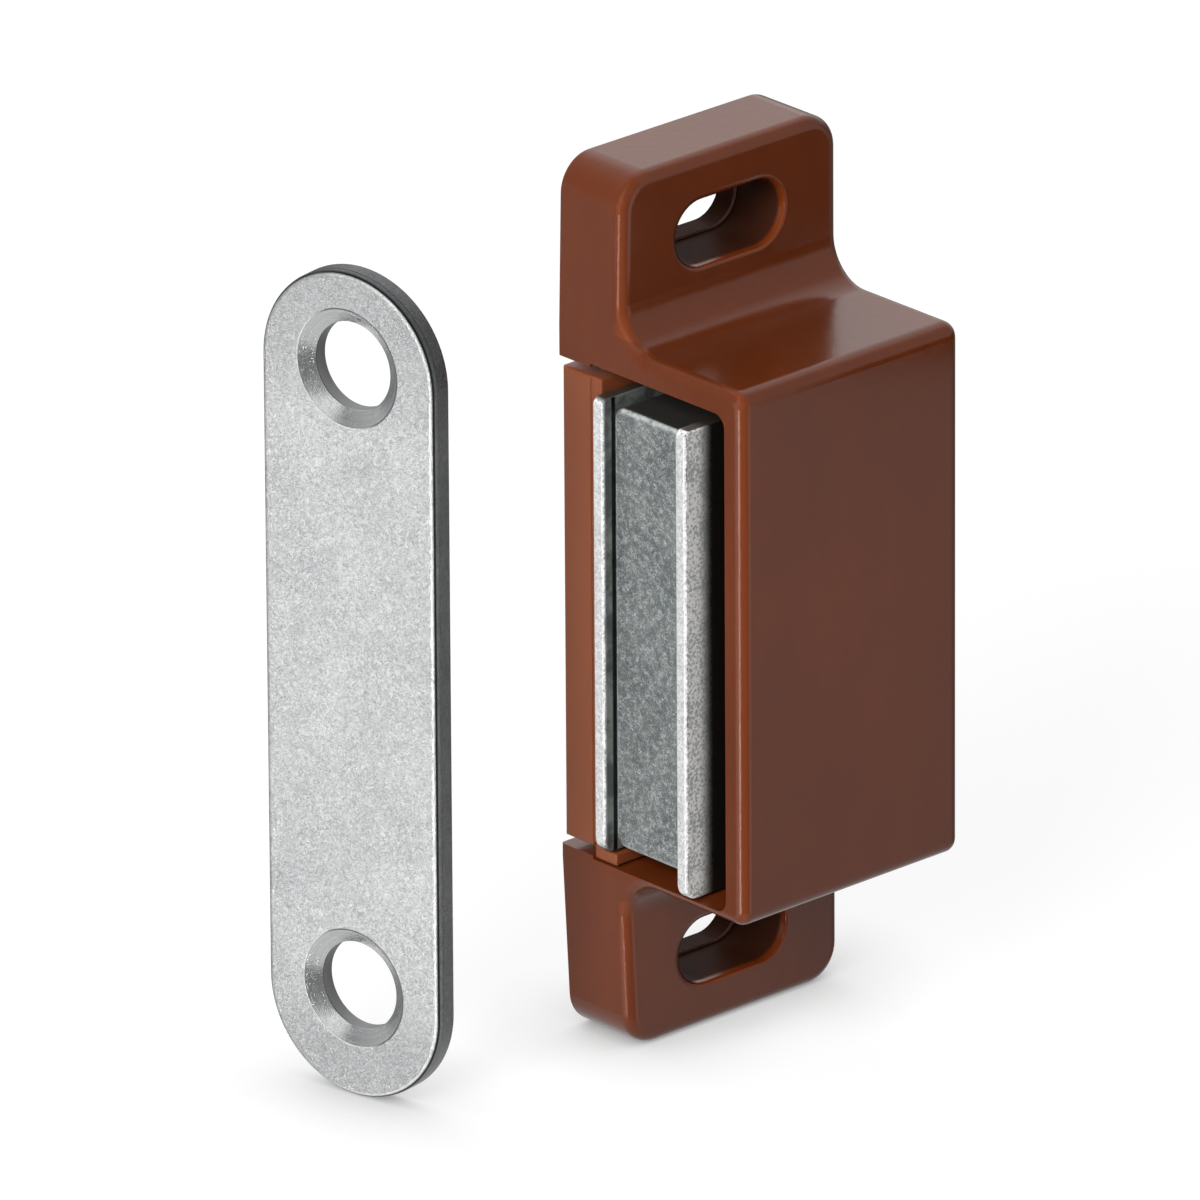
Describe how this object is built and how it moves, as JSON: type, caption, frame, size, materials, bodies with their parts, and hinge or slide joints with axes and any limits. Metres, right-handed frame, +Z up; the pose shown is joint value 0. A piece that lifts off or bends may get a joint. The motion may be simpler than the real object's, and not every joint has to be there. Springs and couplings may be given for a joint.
{
  "type": "magnetic catch",
  "caption": "Cabinet door magnetic catch: plastic housing with slotted lugs, a ferrite magnet between steel pole plates, and a countersunk steel strike plate.",
  "frame": {"origin": "on the mounting face, midway between the two screw slots, at mid-depth of the housing", "axes": "+X out from the mounting face, +Y from the open door side into the cabinet, +Z up along the catch"},
  "size_m": [0.0197, 0.0289, 0.0466],
  "materials": {
    "housing_plastic": "glossy red-brown moulding",
    "cover_plastic": "glossy red-brown moulding",
    "ferrite": "dark grey ground ferrite with fine scratches",
    "pole_steel": "zinc plated, fine grain",
    "strike_steel": "zinc plated, tumbled satin"
  },
  "bodies": {
    "catch": {"housing": "housing_plastic", "rear_cover": "cover_plastic"},
    "magnet_pack": {"magnet": "ferrite", "pole_plate_inner": "pole_steel", "pole_plate_outer": "pole_steel"},
    "strike": {"strike_plate": "strike_steel"}
  },
  "joints": [
    {"name": "magnet_float", "type": "slide", "parent": "catch", "child": "magnet_pack", "axis": [0, 1, 0], "range_m": [0, 0.0009]},
    {"name": "door_swing", "type": "hinge", "parent": "catch", "child": "strike", "pos_m": [0.00227, -0.01405, 0], "axis": [0, 0, 1], "range_deg": [0, 169.56]}
  ]
}
